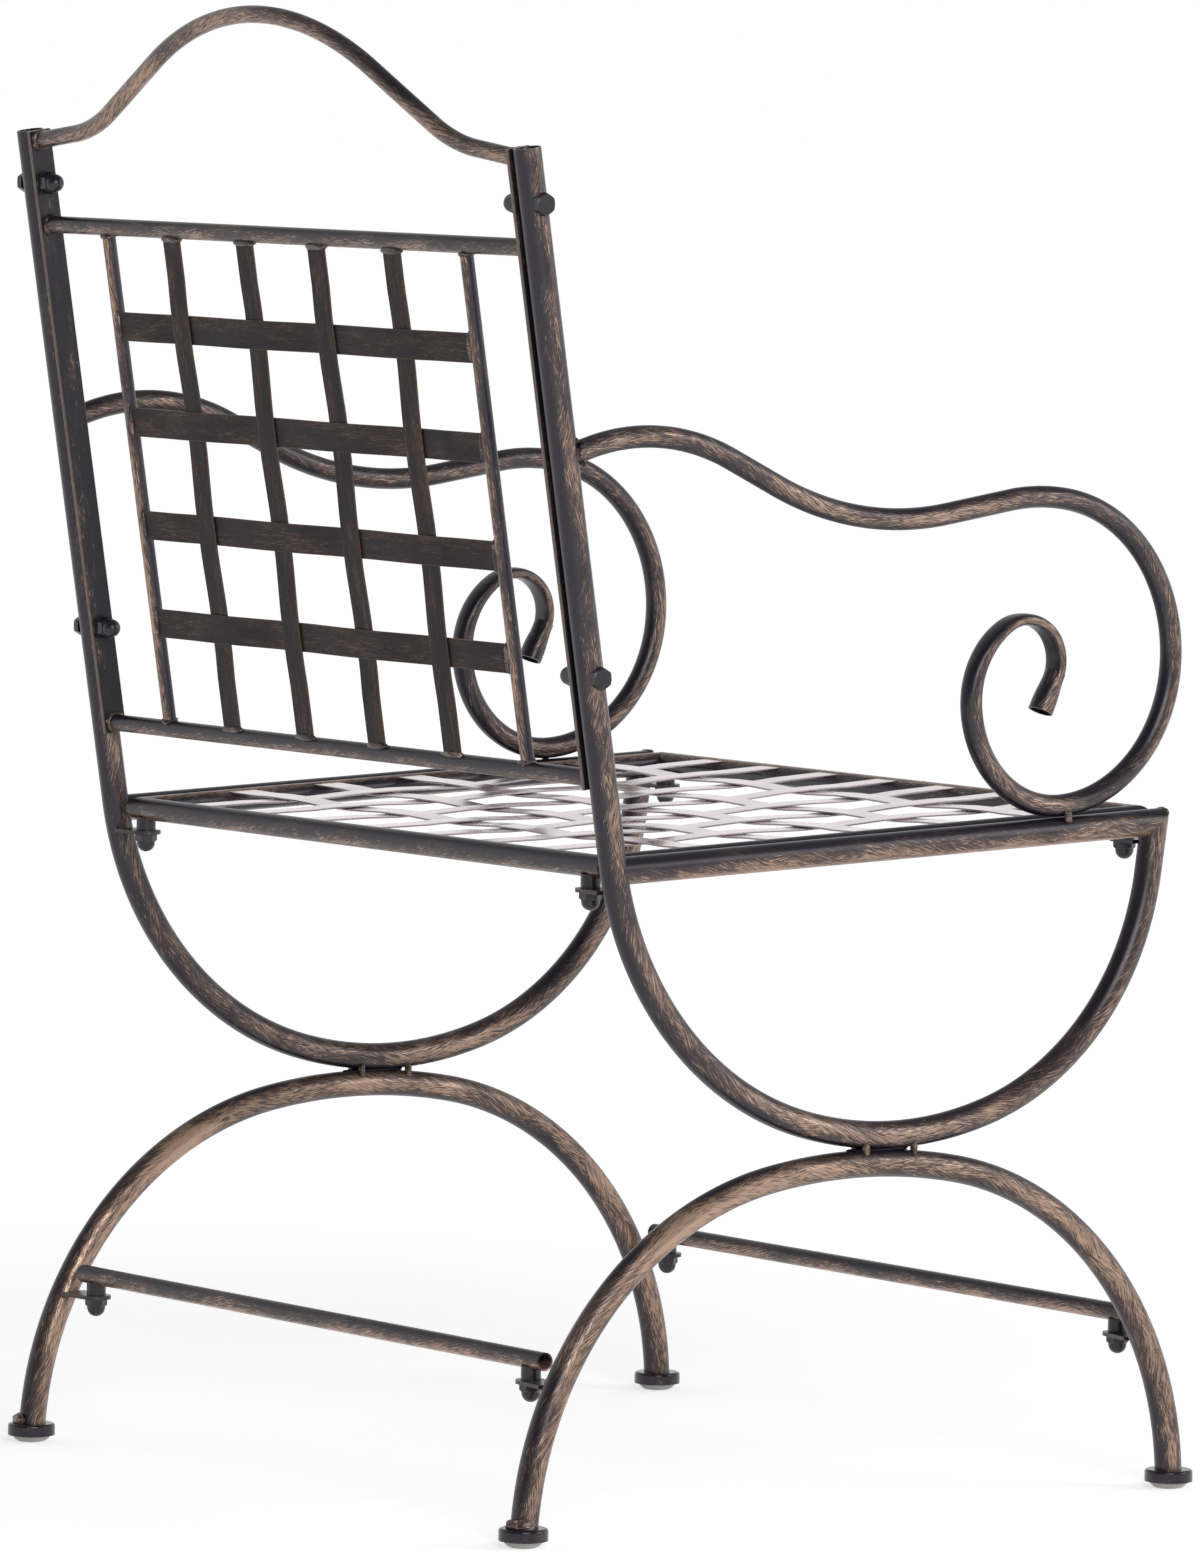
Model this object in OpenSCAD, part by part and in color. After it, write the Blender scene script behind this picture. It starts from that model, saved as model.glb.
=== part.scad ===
// Garden armchair: bolted steel tube chair with scroll arms and woven strap seat and back.
// +Z is up, the front of the chair faces -Y, and the origin is on the ground at the box centre.

/* [Side frames] */
// Distance from the middle of the chair to the plane of each side frame
side_x = 287.5; // [275:0.5:300]
// Diameter of the post, side rail and leg tubes
frame_dia = 18; // [16:0.1:18]
// Diameter of the arm tube
arm_dia = 14.5; // [12:0.1:14.6]
// Wall thickness of all tubes
tube_wall = 1.2; // [0.8:0.1:2]
// Height of the post tops above the ground
post_top_z = 887.3; // [870:0.1:900]
// Distance of the post tops behind the working datum
post_top_y = 271.86; // [271:0.01:273]
// Rearward lean of the backrest, in degrees from upright
back_lean = 9.17; // [9:0.01:9.3]

/* [Backrest] */
// Width of the flat stile bars, front to back
stile_width = 17; // [15:0.5:20]
// Thickness of the flat stile bars
stile_thick = 3; // [2:0.1:3]
// Diameter of the crest, top and bottom rails
rail_dia = 11.5; // [10:0.1:12]
// Diameter of the two upright rods
rod_dia = 9; // [8:0.1:10]
// Distance of each upright rod from the middle
rod_x = 207; // [195:0.5:215]
// Height of the crest above the seat datum, measured along the lean
crest_s = 524.4; // [515:0.1:530]
// Height of the top rail above the seat datum, measured along the lean
top_rail_s = 379; // [375:0.1:385]
// Height of the bottom rail above the seat datum, measured along the lean
bottom_rail_s = 37.8; // [34:0.1:42]

/* [Straps] */
// Width of the woven straps
strap_width = 19.5; // [16:0.5:22]
// Thickness of the woven straps
strap_thick = 1.2; // [0.8:0.1:1.3]
// Distance each strap is pushed out of the middle plane where it crosses another
strap_lift = 0.7; // [0.7:0.05:1]
// Distance of the backrest lattice behind the middle of its rails
back_lattice_n = 2.75; // [2.4:0.05:3]
// Spacing of the fore-and-aft seat straps
seat_long_pitch = 66.25; // [60:0.25:68]
// Spacing of the seat cross straps
seat_cross_pitch = 70; // [64:0.5:72]
// Depth of the hollow in the middle of the seat lattice
seat_dish = 3; // [0:0.5:6]

/* [Seat] */
// Diameter of the seat rail tubes
seat_dia = 15; // [14:0.1:15.5]
// Distance from the middle to the axis of each side tube of the seat
seat_x = 265.5; // [262:0.5:267]
// Depth of the seat from rear rail axis to front rail axis
seat_depth = 437; // [430:0.5:440]
// Distance of the rear seat rail axis behind the working datum
seat_rear_y = 192.5; // [190:0.5:195]
// Height of the rear seat rail axis
seat_rear_z = 429.3; // [429:0.1:430]
// Rise of the seat towards the front, in degrees
seat_rise = 2.15; // [2.1:0.01:2.2]

/* [Stretchers] */
// Diameter of the two stretcher tubes
stretcher_dia = 12; // [11:0.1:12.5]
// Half the length of each stretcher
stretcher_half = 268.5; // [263:0.5:272]
// Height of the stretcher axes
stretcher_z = 114.4; // [114:0.1:115]

/* [Feet] */
// Outer diameter of the foot cups
cup_dia = 32; // [28:0.5:36]
// Diameter of the glides
glide_dia = 27; // [24:0.5:27]
// Height of the glides below the cups
glide_drop = 4.5; // [4:0.1:5]

/* [Hardware] */
// Diameter of the spacer bosses
boss_dia = 13; // [12:0.5:14]
// Width across flats of the cap nuts under the seat and the stretchers
small_nut_flats = 13; // [12:0.5:14]
// Width across flats of the cap nuts and bolt heads of the backrest
large_nut_flats = 13; // [12:0.5:14]
// Thickness of the tab plates
tab_thick = 2.5; // [1.5:0.1:3]
// Clearance around each stud and bolt
bolt_gap = 0.25; // [0.2:0.05:0.4]
// Clearance left where a cut end is welded on to a round tube
weld_gap = 0.12; // [0.1:0.01:0.3]

/* [Hidden] */
$fn = 48;
coat = [0.16, 0.15, 0.15];
frame_r = frame_dia / 2;
arm_r = arm_dia / 2;
rail_r = rail_dia / 2;
rod_r = rod_dia / 2;
seat_r = seat_dia / 2;
stretcher_r = stretcher_dia / 2;
// The seat datum of the backrest is the point of the post axis 450 mm above the ground.
seat_datum_z = 450;
seat_datum_y = post_top_y - (post_top_z - seat_datum_z) * tan(back_lean);
post_top_s = (post_top_z - seat_datum_z) / cos(back_lean);
stile_inner_x = side_x - frame_r - stile_thick;

// Bend tables. Each row is [straight length, 0] or [bend radius, bend angle]; a positive angle
// turns left when the chair is seen from its right with the front on the right hand side.
post_start = [-post_top_y, post_top_z, back_lean - 90];
post_path = [[461.2, 0], [216.4, 64.86], [266.9, 32.68], [189.4, 26.93], [184.1, 38], [50, 0]];
arch_start = [-261.69, 7.5, 86.68];
arch_path = [[233.5, -76.8], [414.8, -20.55], [225.4, -77], [8, 0]];
arm_start = [-240.25, 692.09, 16.58];
arm_path = [[20, 0], [155.6, -42.3], [41.5, 0], [234.8, 34.5], [52, 0], [149.5, -19.2],
  [105.7, -84.6], [95.4, -83.1], [71.2, -89.4], [56.3, -62.1], [27.9, -145.9], [23, 0]];
crest_half = [[253.3, -29.56], [71.3, 0], [121.1, 22.79], [80, 0]];
end_trim = 0.1;
collar_len = 1.6;
collar_lip = 0.05;

// Side rail of the side frame, from the post to a tube diameter past the front corner
side_rail_start = [-196, 427.84, 2.05];
// The front corner of the side frame, where post tube and side rail are mitred
corner_u = 242.2;
corner_z = side_rail_start[1] + (corner_u - side_rail_start[0]) * tan(side_rail_start[2]);
side_rail_cut = (corner_u - side_rail_start[0]) / cos(side_rail_start[2]) + frame_dia;

// Foot positions: distance in front of the datum, rear foot and front foot
foot_u = [-262, 263.2];
cup_top_z = glide_drop + 8;
cup_wall = 1.6;

// Backrest lattice: strap positions, upright straps from the left, cross straps from the top
upright_x = [127.5, 41.5, -41.5, -127.5];
cross_s = [312.6, 247.9, 177.8, 111.1];

// The datum is moved so that the origin lies midway between the back of the crest and the front
// of the front foot cups, which are the rearmost and the foremost points of the chair.
datum_shift_y = (foot_u[1] + cup_dia / 2 - seat_datum_y - crest_s * sin(back_lean) - rail_r) / 2;

// Joints below the seat and the stretchers
joint_x = [257, 253.2];
seat_front_y = seat_rear_y - seat_depth * cos(seat_rise);
seat_front_z = seat_rear_z + seat_depth * sin(seat_rise);
seat_joint_y = [seat_rear_y + 1, seat_front_y + 2.5];
stretcher_y = [233, -245.5];
boss_len = 7;
seat_tab_top = [seat_rear_z - seat_r - boss_len + 0.2, seat_front_z - seat_r - boss_len + 0.2];
stretcher_tab_top = stretcher_z - stretcher_r - boss_len;
stud_dia = 7.8;
nut_hex_h = 5;
nut_dome_h = 7;
tab_width = 20;

// Backrest bolts: heights of the upper and lower bolt on each post axis
bolt_z = [852, 552];
bolt_dia = 7.8;

// Advance a point [u, z, heading] along one row of a bend table.
function turn_side(seg) = seg[1] > 0 ? 1 : -1;
function arc_centre(p, seg) = [p[0] - turn_side(seg) * seg[0] * sin(p[2]),
  p[1] + turn_side(seg) * seg[0] * cos(p[2])];
function advance(p, seg) = seg[1] == 0
  ? [p[0] + seg[0] * cos(p[2]), p[1] + seg[0] * sin(p[2]), p[2]]
  : let (c = arc_centre(p, seg), h = p[2] + seg[1], k = turn_side(seg) * seg[0])
    [c[0] + k * sin(h), c[1] - k * cos(h), h];
function walk(p, path, k) = k == 0 ? p : advance(walk(p, path, k - 1), path[k - 1]);

// The places where a bent length meets a level or an upright line: up or forwards is 1 or -1
function arc_z(start, path, k, u, up) = let (c = arc_centre(walk(start, path, k), path[k]))
  c[1] + up * sqrt(path[k][0] * path[k][0] - (u - c[0]) * (u - c[0]));
function arc_u(start, path, k, z, forwards) = let (c = arc_centre(walk(start, path, k), path[k]))
  c[0] + forwards * sqrt(path[k][0] * path[k][0] - (z - c[1]) * (z - c[1]));

module ring(outer_r, inner_r) {
  difference() {
    circle(outer_r);
    if (inner_r > 0) circle(inner_r);
  }
}

// One straight or bent length of tube in the XY plane, a hair short at both ends
module tube_length(p, seg, outer_r, inner_r) {
  if (seg[1] == 0) {
    translate([p[0], p[1], 0]) rotate([0, 90, p[2]]) translate([0, 0, end_trim])
      linear_extrude(seg[0] - 2 * end_trim) ring(outer_r, inner_r);
  } else {
    c = arc_centre(p, seg);
    trim = end_trim / seg[0] * 180 / PI;
    from = seg[1] > 0 ? p[2] - 90 : p[2] + 90 + seg[1];
    translate([c[0], c[1], 0]) rotate([0, 0, from + trim])
      rotate_extrude(angle = abs(seg[1]) - 2 * trim) translate([seg[0], 0]) ring(outer_r, inner_r);
  }
}

// A whole bent tube: every length follows on from the one before it, and a collar too thin to
// see closes the hair between them, so that the lengths join into one solid with true curves.
module bent_tube(start, path, outer_r, inner_r) {
  for (k = [0:len(path) - 1]) {
    p = walk(start, path, k);
    tube_length(p, path[k], outer_r, inner_r);
    if (k > 0) translate([p[0], p[1], 0]) rotate([0, 90, p[2]])
      linear_extrude(collar_len, center = true) ring(outer_r + collar_lip, inner_r - collar_lip);
  }
}

// Stand a drawing of the side view (u forwards, z up) in the plane of one side frame
module side_plane(side) {
  translate([side * side_x, datum_shift_y, 0]) rotate([90, 0, -90]) children();
}

// Lean a drawing of the backrest (x across, y rearwards, z up the back) into place
module back_plane() {
  translate([0, seat_datum_y + datum_shift_y, seat_datum_z]) rotate([-back_lean, 0, 0]) children();
}

// Slope the seat panel (x across, -y forwards from the rear rail) into place
module seat_plane() {
  translate([0, seat_rear_y + datum_shift_y, seat_rear_z]) rotate([-seat_rise, 0, 0]) children();
}

// Half space on one side of the corner mitre, as a big block
module mitre_block(keep_rail) {
  post_end = walk(post_start, post_path, len(post_path));
  translate([corner_u, corner_z, 0]) rotate([0, 0, (post_end[2] + side_rail_start[2]) / 2])
    translate([-100, keep_rail ? -200 : 0, -30]) cube([200, 200, 60]);
}

// Post tube: one length of tube bent from the top of the back to the front corner
module post_tube(side) {
  color(coat) difference() {
    side_plane(side) difference() {
      bent_tube(post_start, post_path, frame_r, frame_r - tube_wall);
      mitre_block(false);
    }
    back_bolt_holes(side, bolt_dia / 2 + bolt_gap);
  }
}

// Side rail: coped to the post at the rear and mitred to the post tube at the front corner
module side_rail(side) {
  color(coat) side_plane(side) difference() {
    tube_length(side_rail_start, [side_rail_cut, 0], frame_r, frame_r - tube_wall);
    mitre_block(true);
    bent_tube(post_start, [post_path[0], post_path[1]], frame_r + weld_gap, 0);
  }
}

// Leg arch: one tube forms both legs and is cut off level on top of the foot cups
module leg_arch(side) {
  color(coat) side_plane(side) difference() {
    bent_tube(arch_start, arch_path, frame_r, frame_r - tube_wall);
    translate([foot_u[0] - 30, cup_top_z - 60, -30]) cube([foot_u[1] - foot_u[0] + 60, 60, 60]);
  }
}

// Arm: coped to the front of the post, waves forwards and curls back into a scroll
module arm(side) {
  color(coat) side_plane(side) difference() {
    bent_tube(arm_start, arm_path, arm_r, arm_r - tube_wall);
    tube_length(post_start, post_path[0], frame_r + weld_gap, 0);
  }
}

// Weld tacks: short beads in the valleys where the bent tubes of a side frame meet. Each one
// starts as deep in its valley as its radius allows and stands a little proud of the tubes.
tack_r = 2.8;
tack_u = [2.6, 41.8];
arm_tack_u = 164.6;
function apex_low(u) = arc_z(arch_start, arch_path, 1, u, 1);
function apex_high(u) = arc_z(post_start, post_path, 2, u, -1);
arm_tack_z = side_rail_start[1] + (arm_tack_u - side_rail_start[0]) * tan(side_rail_start[2])
  + frame_r + 0.2;

module tack(side, face, u, z, from, to) {
  side_plane(side) translate([u, z, face > 0 ? from : -to]) cylinder(h = to - from, r = tack_r);
}

module weld_tacks() {
  color(coat) for (side = [-1, 1]) {
    for (face = [-1, 1], u = tack_u) {
      room = (apex_high(u) - apex_low(u)) / 2 - tack_r - 0.2;
      tack(side, face, u, (apex_high(u) + apex_low(u)) / 2,
        sqrt(frame_r * frame_r - room * room), frame_r + 1.5);
    }
    tack(side, -side, arm_tack_u, arm_tack_z, 6.4, frame_r + 1.2);
  }
}

// Foot cups: pressed steel cups with a flat top that the leg is welded to
module foot_cups() {
  color(coat) for (side = [-1, 1], u = foot_u)
    translate([side * side_x, -u + datum_shift_y, 0]) rotate_extrude() difference() {
      translate([0, glide_drop]) rounded_profile(cup_dia / 2, cup_top_z - glide_drop, 2);
      translate([0, glide_drop - 1]) square([glide_dia / 2 + 0.3, cup_top_z - glide_drop - cup_wall + 1]);
    }
}

// Glides: plastic pads pressed into the cups, with a flat face to stand on
module foot_glides() {
  color([0.85, 0.85, 0.83]) for (side = [-1, 1], u = foot_u)
    translate([side * side_x, -u + datum_shift_y, 0]) rotate_extrude()
      intersection() {
        square([glide_dia / 2, cup_top_z - cup_wall - 0.3]);
        translate([glide_dia / 2 - 7, 7]) union() {
          circle(7);
          translate([-20, -7]) square([20, 20]);
          translate([-1, 0]) square([10, 20]);
        }
      }
}

// Half of a disc seen from the side, with its upper edge rounded
module rounded_profile(r, h, edge) {
  square([r, h - edge]);
  square([r - edge, h]);
  translate([r - edge, h - edge]) circle(edge);
}

// Tab plate: welded to a tube at one end and drilled under the boss at its round end
module tab_plate(side, hole_x, hole_y, weld_u, top, start, path, k) {
  dx = side_x - hole_x;
  dy = -weld_u - hole_y;
  color(coat) difference() {
    translate([side * hole_x, hole_y + datum_shift_y, top - tab_thick])
      rotate([0, 0, side > 0 ? atan2(dy, dx) : 180 - atan2(dy, dx)]) linear_extrude(tab_thick)
        difference() {
          union() {
            circle(tab_width / 2);
            translate([0, -tab_width / 2]) square([norm([dx, dy]) - frame_r + 1, tab_width]);
          }
          circle(stud_dia / 2 + bolt_gap);
        }
    side_plane(side) tube_length(walk(start, path, k), path[k], frame_r + weld_gap, 0);
  }
}

module rear_seat_tab(side) {
  weld_u = arc_u(post_start, post_path, 1, seat_tab_top[0], -1);
  tab_plate(side, joint_x[0], seat_joint_y[0], weld_u, seat_tab_top[0], post_start, post_path, 1);
}

module front_seat_tab(side) {
  upright = walk(post_start, post_path, 5);
  weld_u = upright[0] + (seat_tab_top[1] - upright[1]) / tan(upright[2]);
  tab_plate(side, joint_x[0], seat_joint_y[1], weld_u, seat_tab_top[1], post_start, post_path, 5);
}

module rear_stretcher_tab(side) {
  weld_u = arc_u(arch_start, arch_path, 0, stretcher_tab_top, -1);
  tab_plate(side, joint_x[1], stretcher_y[0], weld_u, stretcher_tab_top, arch_start, arch_path, 0);
}

module front_stretcher_tab(side) {
  weld_u = arc_u(arch_start, arch_path, 2, stretcher_tab_top, 1);
  tab_plate(side, joint_x[1], stretcher_y[1], weld_u, stretcher_tab_top, arch_start, arch_path, 2);
}

// Every joint under the seat and the stretchers: children see the top face of the tab as z = 0
module at_joints(seat = true, stretchers = true) {
  for (side = [-1, 1], k = [0, 1]) {
    if (seat) translate([side * joint_x[0], seat_joint_y[k] + datum_shift_y, seat_tab_top[k]]) children();
    if (stretchers) translate([side * joint_x[1], stretcher_y[k] + datum_shift_y, stretcher_tab_top])
      children();
  }
}

module spacer_bosses() {
  color(coat) difference() {
    at_joints() difference() {
      cylinder(h = boss_len + 2, r = boss_dia / 2);
      translate([0, 0, -1]) cylinder(h = boss_len - 0.4, r = stud_dia / 2 + bolt_gap);
    }
    for (k = [0, 1]) translate([-300, stretcher_y[k] + datum_shift_y, stretcher_z]) rotate([0, 90, 0])
      cylinder(h = 600, r = stretcher_r + weld_gap);
    seat_plane() seat_clear_tube(0);
    seat_plane() seat_clear_tube(seat_depth);
  }
}

// Studs reach from inside the boss, through the tab, into the cap nut
module joint_studs() {
  color(coat) at_joints() translate([0, 0, -tab_thick - nut_hex_h - 1.5])
    cylinder(h = nut_hex_h + 1.5 + tab_thick + boss_len - 1.8, r = stud_dia / 2);
}

// Cap nut with its seat at z = 0 and its dome downwards
module cap_nut(flats, hex_h, dome_h, bore_r, bore_h) {
  hex_r = flats / 2 / cos(30);
  mirror([0, 0, 1]) difference() {
    union() {
      intersection() {
        cylinder(h = hex_h, r = hex_r, $fn = 6);
        rotate_extrude() polygon([[0, 0], [hex_r - 0.7, 0], [hex_r + 0.3, 1], [hex_r + 0.3, hex_h - 1.4],
          [flats / 2 - 0.1, hex_h], [0, hex_h]]);
      }
      rotate_extrude() intersection() {
        translate([0, hex_h - 0.5]) square([flats / 2, dome_h + 0.5]);
        union() {
          translate([0, hex_h + dome_h - flats / 2 + 0.4]) circle(flats / 2 - 0.4);
          square([flats / 2 - 0.4, hex_h + dome_h - flats / 2 + 0.4]);
        }
      }
    }
    translate([0, 0, -1]) cylinder(h = bore_h + 1, r = bore_r);
  }
}

module joint_cap_nuts() {
  color(coat) at_joints() translate([0, 0, -tab_thick])
    cap_nut(small_nut_flats, nut_hex_h, nut_dome_h, stud_dia / 2 + bolt_gap, nut_hex_h + 2);
}

// Stile: flat bar between the post and the ends of the backrest rails
module stile(side) {
  color(coat) difference() {
    back_plane() translate([side > 0 ? stile_inner_x : -stile_inner_x - stile_thick,
      -stile_width / 2, bottom_rail_s - rail_r - 0.8])
      cube([stile_thick, stile_width, post_top_s - bottom_rail_s + rail_r + 0.8]);
    back_bolt_holes(side, bolt_dia / 2 + bolt_gap);
  }
}

// A straight rail across the backrest, its ends butted against the stiles
module back_rail(s, outer_r, inner_r) {
  translate([-stile_inner_x, 0, s]) rotate([0, 90, 0]) linear_extrude(2 * stile_inner_x)
    ring(outer_r, inner_r);
}

module top_rail() {
  color(coat) back_plane() back_rail(top_rail_s, rail_r, rail_r - tube_wall);
}

module bottom_rail() {
  color(coat) back_plane() back_rail(bottom_rail_s, rail_r, rail_r - tube_wall);
}

// Crest rail: bow shaped tube, the same bends mirrored about the middle
module crest_rail() {
  last = len(crest_half) - 1;
  end = walk([0, crest_s, 0], crest_half, last + 1);
  outer = [for (k = [1:last]) crest_half[k]];
  path = concat([for (k = [last:-1:1]) crest_half[k]],
    [[crest_half[0][0], 2 * crest_half[0][1]]], outer);
  color(coat) back_plane() intersection() {
    rotate([90, 0, 0]) bent_tube([-end[0], end[1], -end[2]], path, rail_r, rail_r - tube_wall);
    translate([-stile_inner_x, -20, top_rail_s]) cube([2 * stile_inner_x, 40, crest_s]);
  }
}

module rod(side) {
  color(coat) back_plane() difference() {
    translate([side * rod_x, 0, bottom_rail_s + 2]) cylinder(h = top_rail_s - bottom_rail_s - 4, r = rod_r);
    back_rail(top_rail_s, rail_r + weld_gap, 0);
    back_rail(bottom_rail_s, rail_r + weld_gap, 0);
  }
}

// Weave: the height of a strap above its middle plane at any place along it. It stays flat over
// each crossing, swaps sides between crossings and runs out to the middle plane at both ends.
function weave_phase(t, at) = lookup(t, concat([[at[0] - 34, -90]],
  [for (k = [0:len(at) - 1]) [at[k], 180 * k]], [[at[len(at) - 1] + 34, 180 * len(at) - 90]]));
function weave(t, at, side) = side * strap_lift * max(-1, min(1, 1.3 * cos(weave_phase(t, at))));
// Depth of the dish under a place of the seat, 0 on the rails and deepest in the middle
function dish(x, v) = seat_dish * (1 - pow(x / seat_x, 2)) * (1 - pow(2 * v / seat_depth - 1, 2));

// Side view of a woven strap from a list of [distance, height]
module strap_outline(line) {
  h = strap_thick / 2;
  polygon(concat([for (p = line) [p[0], p[1] + h]],
    [for (k = [len(line) - 1:-1:0]) [line[k][0], line[k][1] - h]]));
}

// Upright backrest strap: number 0 and 2 pass behind the first cross strap
module back_upright(k) {
  low = bottom_rail_s + 2.7;
  high = top_rail_s - 2;
  steps = 48;
  at = [for (j = [3:-1:0]) cross_s[j]];
  side = k % 2 == 0 ? -1 : 1;
  line = [for (i = [0:steps]) let (t = low + (high - low) * i / steps) [t, weave(t, at, side)]];
  color(coat) back_plane() difference() {
    translate([upright_x[k], back_lattice_n, 0]) rotate([0, -90, 0])
      linear_extrude(strap_width, center = true) strap_outline(line);
    back_rail(top_rail_s, rail_r + weld_gap, 0);
    back_rail(bottom_rail_s, rail_r + weld_gap, 0);
  }
}

// Backrest cross strap: its ends are cut to the round of the rods
module back_cross(j) {
  reach = rod_x - 2;
  steps = 60;
  at = [for (k = [3:-1:0]) upright_x[k]];
  side = j % 2 == 0 ? 1 : -1;
  line = [for (i = [0:steps]) let (t = -reach + 2 * reach * i / steps) [t, weave(t, at, side)]];
  color(coat) back_plane() difference() {
    translate([0, back_lattice_n, cross_s[j]]) linear_extrude(strap_width, center = true)
      strap_outline(line);
    for (x = [-rod_x, rod_x]) translate([x, 0, 0]) cylinder(h = top_rail_s, r = rod_r + weld_gap);
  }
}

// Seat rails: four tubes mitred at the corners of the seat panel
module seat_cross_tube(v, inner_r) {
  translate([-seat_x - 10, -v, 0]) rotate([0, 90, 0]) linear_extrude(2 * seat_x + 20)
    ring(seat_r, inner_r);
}

module seat_side_tube(side, inner_r, grow = 0) {
  translate([side * seat_x, 10, 0]) rotate([90, 0, 0]) linear_extrude(seat_depth + 20)
    ring(seat_r + grow, inner_r);
}

// Plan view of what a rear or front rail keeps inside its mitres
module mitre_wedge(v, towards) {
  run = 12;
  translate([0, -v, -15]) linear_extrude(30) polygon([
    [-seat_x - run, towards * run], [seat_x + run, towards * run],
    [seat_x - run, -towards * run], [-seat_x + run, -towards * run]]);
}

module seat_end_rail(v, towards) {
  color(coat) seat_plane() intersection() {
    seat_cross_tube(v, seat_r - tube_wall);
    mitre_wedge(v, towards);
  }
}

module seat_side_rail(side) {
  color(coat) seat_plane() difference() {
    seat_side_tube(side, seat_r - tube_wall);
    mitre_wedge(0, 1);
    mitre_wedge(seat_depth, -1);
  }
}

seat_lattice_z = seat_r - 1.5;
seat_long_at = [for (k = [3:-1:-3]) k * seat_long_pitch];
seat_cross_at = [for (k = [-2:2]) seat_depth / 2 + 0.9 + k * seat_cross_pitch];

// Fore-and-aft seat strap, numbered from the left; the first passes under the first cross strap
module seat_long(k) {
  x = seat_long_at[k];
  steps = 60;
  side = k % 2 == 0 ? -1 : 1;
  line = [for (i = [0:steps]) let (t = 1.5 + (seat_depth - 3) * i / steps)
    [t, weave(t, seat_cross_at, side) - dish(x, t)]];
  color(coat) seat_plane() difference() {
    translate([x, 0, seat_lattice_z]) rotate([90, 0, -90])
      linear_extrude(strap_width, center = true) strap_outline(line);
    seat_clear_tube(0);
    seat_clear_tube(seat_depth);
  }
}

module seat_clear_tube(v) {
  translate([-seat_x - 10, -v, 0]) rotate([0, 90, 0]) cylinder(h = 2 * seat_x + 20, r = seat_r + weld_gap);
}

// Seat cross strap, numbered from the rear
module seat_cross(j) {
  v = seat_cross_at[j];
  reach = seat_x - 1.5;
  steps = 72;
  at = [for (k = [6:-1:0]) seat_long_at[k]];
  side = j % 2 == 0 ? 1 : -1;
  line = [for (i = [0:steps]) let (t = -reach + 2 * reach * i / steps)
    [t, weave(t, at, side) - dish(t, v)]];
  color(coat) seat_plane() difference() {
    translate([0, -v, seat_lattice_z]) rotate([90, 0, 0])
      linear_extrude(strap_width, center = true) strap_outline(line);
    for (end = [-1, 1]) seat_side_tube(end, 0, weld_gap);
  }
}

// Stretchers: straight tubes with open ends
module stretcher(k) {
  color(coat) translate([-stretcher_half, stretcher_y[k] + datum_shift_y, stretcher_z])
    rotate([0, 90, 0]) linear_extrude(2 * stretcher_half) ring(stretcher_r, stretcher_r - tube_wall);
}

// Backrest bolts run sideways through post and stile
function post_y(z) = seat_datum_y + (z - seat_datum_z) * tan(back_lean) + datum_shift_y;

module at_back_bolts(side) {
  for (z = bolt_z) translate([side * side_x, post_y(z), z]) rotate([0, side * 90, 0]) children();
}

module back_bolt_holes(side, r) {
  at_back_bolts(side) translate([0, 0, -frame_r - stile_thick - 5])
    cylinder(h = 2 * frame_r + stile_thick + 10, r = r);
}

module back_bolts() {
  head_r = large_nut_flats / 2 / cos(30);
  color(coat) for (side = [-1, 1]) at_back_bolts(side) {
    translate([0, 0, frame_r + weld_gap]) union() {
      intersection() {
        cylinder(h = 5.2, r = head_r, $fn = 6);
        rotate_extrude() polygon([[0, 0], [head_r + 0.5, 0], [head_r + 0.5, 4], [head_r - 1.3, 5.2],
          [0, 5.2]]);
      }
      translate([0, 0, -2 * frame_r - stile_thick - 1.6 - 10])
        cylinder(h = 2 * frame_r + stile_thick + 1.6 + 10.5, r = bolt_dia / 2);
    }
  }
}

module back_washers() {
  color(coat) for (side = [-1, 1]) at_back_bolts(side)
    translate([0, 0, -frame_r - stile_thick - 1.6]) linear_extrude(1.6) ring(8, bolt_dia / 2 + bolt_gap);
}

module back_cap_nuts() {
  color(coat) for (side = [-1, 1]) at_back_bolts(side)
    translate([0, 0, -frame_r - stile_thick - 1.6])
      cap_nut(large_nut_flats, 7, 8, bolt_dia / 2 + bolt_gap, 11);
}

post_tube(1);  // post_tube_left
post_tube(-1);  // post_tube_right
side_rail(1);  // side_rail_left
side_rail(-1);  // side_rail_right
leg_arch(1);  // leg_arch_left
leg_arch(-1);  // leg_arch_right
arm(1);  // arm_left
arm(-1);  // arm_right
rear_seat_tab(1);  // rear_seat_tab_left
rear_seat_tab(-1);  // rear_seat_tab_right
front_seat_tab(1);  // front_seat_tab_left
front_seat_tab(-1);  // front_seat_tab_right
rear_stretcher_tab(1);  // rear_stretcher_tab_left
rear_stretcher_tab(-1);  // rear_stretcher_tab_right
front_stretcher_tab(1);  // front_stretcher_tab_left
front_stretcher_tab(-1);  // front_stretcher_tab_right
foot_cups();
foot_glides();
weld_tacks();
stile(1);  // stile_left
stile(-1);  // stile_right
crest_rail();
top_rail();
bottom_rail();
rod(1);  // rod_left
rod(-1);  // rod_right
back_upright(0);  // back_upright_1
back_upright(1);  // back_upright_2
back_upright(2);  // back_upright_3
back_upright(3);  // back_upright_4
back_cross(0);  // back_cross_1
back_cross(1);  // back_cross_2
back_cross(2);  // back_cross_3
back_cross(3);  // back_cross_4
seat_end_rail(0, 1);  // seat_rear_rail
seat_end_rail(seat_depth, -1);  // seat_front_rail
seat_side_rail(1);  // seat_left_rail
seat_side_rail(-1);  // seat_right_rail
seat_long(0);  // seat_long_1
seat_long(1);  // seat_long_2
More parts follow.
